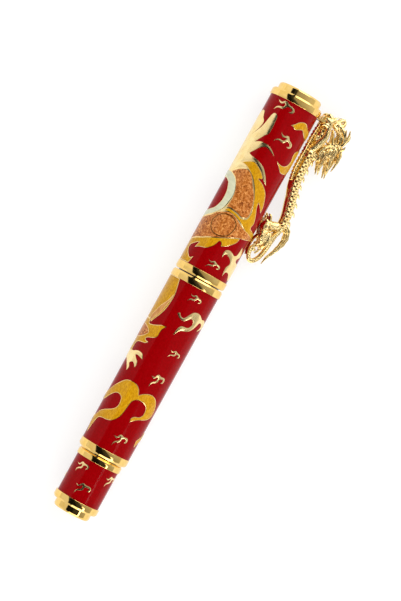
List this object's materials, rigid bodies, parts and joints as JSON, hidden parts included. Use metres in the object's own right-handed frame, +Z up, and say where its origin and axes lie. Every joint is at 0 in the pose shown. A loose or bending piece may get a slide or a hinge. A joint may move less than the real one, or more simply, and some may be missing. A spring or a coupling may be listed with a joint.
{
  "type": "fountain pen with dragon clip",
  "caption": "Capped piston-filling fountain pen in red enamel and gold, with raised motifs and a sprung clip cast as a dragon.",
  "frame": {"origin": "on the desk, under the middle of the whole pen's box; the pen lies on its crown and barrel rings and on a horn of the dragon", "axes": "+Y along the pen from the tail knob to the cap's crown, +Z up, the clip towards +X and rolled down to the desk"},
  "size_m": [0.0289, 0.147, 0.017],
  "materials": {
    "gold_plate": "polished gold plate",
    "cast_gold": "cast, bright",
    "red_enamel": "glossy translucent enamel",
    "inner_brass": "turned",
    "steel": "turned",
    "black_resin": "polished",
    "clear_resin": "clear",
    "white_plastic": "moulded",
    "rubber": "satin",
    "nib_gold": "polished"
  },
  "bodies": {
    "barrel": {"barrel_shell": "red_enamel", "barrel_liner": "inner_brass", "barrel_front_ring": "gold_plate", "barrel_rear_ring": "gold_plate", "piston_guide": "gold_plate", "spindle_collar": "steel", "ink_chamber": "clear_resin", "chamber_seal": "rubber", "section": "black_resin", "section_ring": "gold_plate", "nib_housing": "black_resin", "feed": "black_resin", "nib": "nib_gold"},
    "knob": {"knob_finial": "gold_plate", "knob_shell": "red_enamel", "knob_core": "inner_brass", "knob_ring": "gold_plate", "spindle": "steel", "thrust_washer": "white_plastic"},
    "piston": {"piston_rod": "white_plastic", "piston_core": "black_resin", "piston_seal": "rubber"},
    "clutch": {"clutch_ring": "gold_plate"},
    "cap": {"cap_lip_ring": "gold_plate", "cap_liner": "inner_brass", "cap_shell": "red_enamel", "inner_cap": "black_resin", "cap_plug": "inner_brass", "crown_band": "gold_plate", "crown_finial": "gold_plate", "clip_bracket": "gold_plate", "clip_pin": "steel", "clip_spring": "steel"},
    "clip": {"clip_bar": "gold_plate", "dragon_torso": "cast_gold", "dragon_forelegs": "cast_gold", "dragon_head": "cast_gold", "dragon_tail": "cast_gold"}
  },
  "joints": [
    {"name": "cap_turn", "type": "hinge", "parent": "barrel", "child": "clutch", "pos_m": [-0.00595, 0.01035, 0.0085], "axis": [0, 1, 0], "continuous": true},
    {"name": "cap_pull", "type": "slide", "parent": "clutch", "child": "cap", "axis": [0, 1, 0], "range_m": [0, 0.06]},
    {"name": "clip_lift", "type": "hinge", "parent": "cap", "child": "clip", "pos_m": [0.00396, 0.07, 0.00569], "axis": [0.2726, 0, 0.9621], "range_deg": [0, 6], "stiffness_Nm_per_rad": 0.5, "springref_deg": -2.86},
    {"name": "knob_turn", "type": "hinge", "parent": "barrel", "child": "knob", "pos_m": [-0.00595, -0.0635, 0.0085], "axis": [0, 1, 0], "range_deg": [0, 1440]},
    {"name": "piston_slide", "type": "slide", "parent": "barrel", "child": "piston", "axis": [0, 1, 0], "range_m": [0, 0.0201]}
  ],
  "couplings": [
    {"joint": "piston_slide", "follows": "knob_turn", "m_per_rad": 0.00079577}
  ]
}
